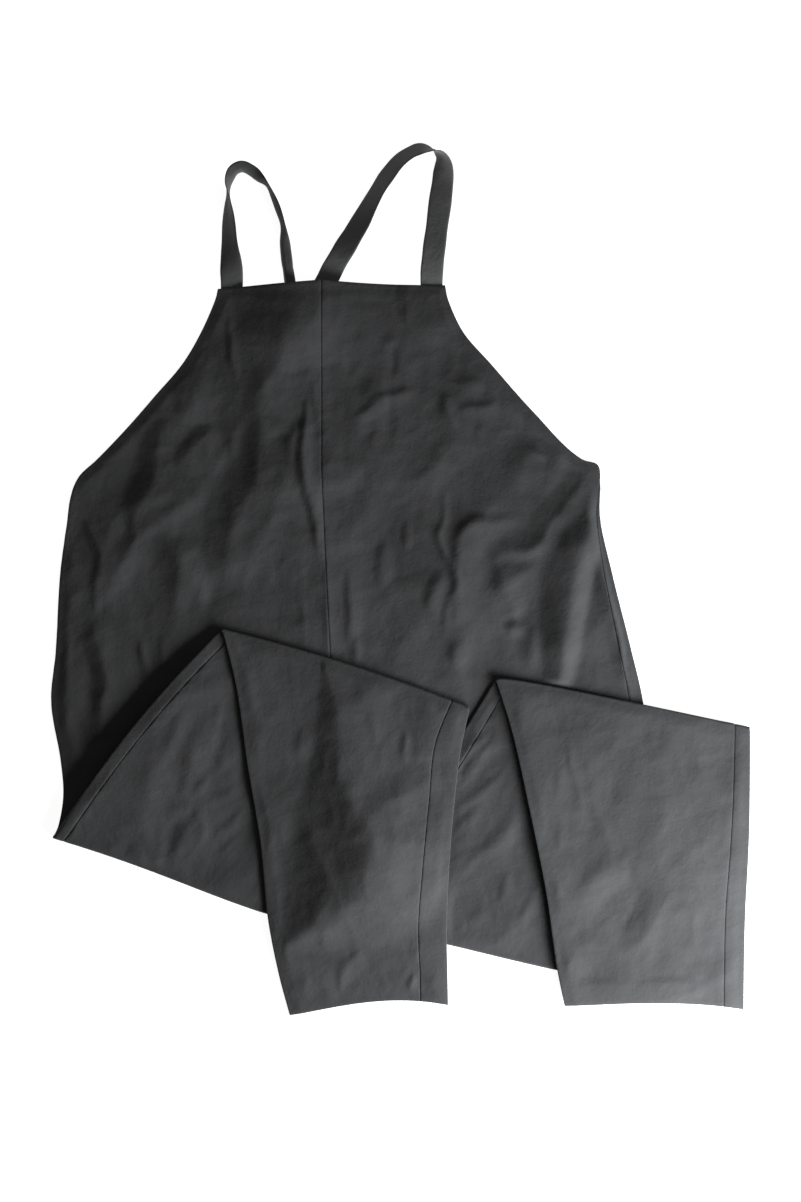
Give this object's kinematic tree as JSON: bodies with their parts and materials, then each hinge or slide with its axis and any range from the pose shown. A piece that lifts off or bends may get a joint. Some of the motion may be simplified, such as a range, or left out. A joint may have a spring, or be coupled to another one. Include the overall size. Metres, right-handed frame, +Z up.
{
  "type": "sleeveless long-leg romper laid flat with folded legs",
  "caption": "Charcoal sleeveless long-leg romper with crossed shoulder straps, laid flat face up with both legs folded up over the front and back down.",
  "frame": {"origin": "centre of the laid garment's outline on the surface it lies on", "axes": "+X to the right as seen from above, +Y from the hems towards the neck, +Z up off the surface"},
  "size_m": [0.7545, 0.9401, 0.0242],
  "materials": {
    "charcoal_cloth": "matt brushed cotton twill, soft, faint nap",
    "strap_cloth": "the same twill, doubled and pressed flat"
  },
  "bodies": {
    "root": {"front_left": "charcoal_cloth", "front_right": "charcoal_cloth", "back_left": "charcoal_cloth", "back_right": "charcoal_cloth", "strap_left": "strap_cloth", "strap_right": "strap_cloth"}
  },
  "joints": []
}
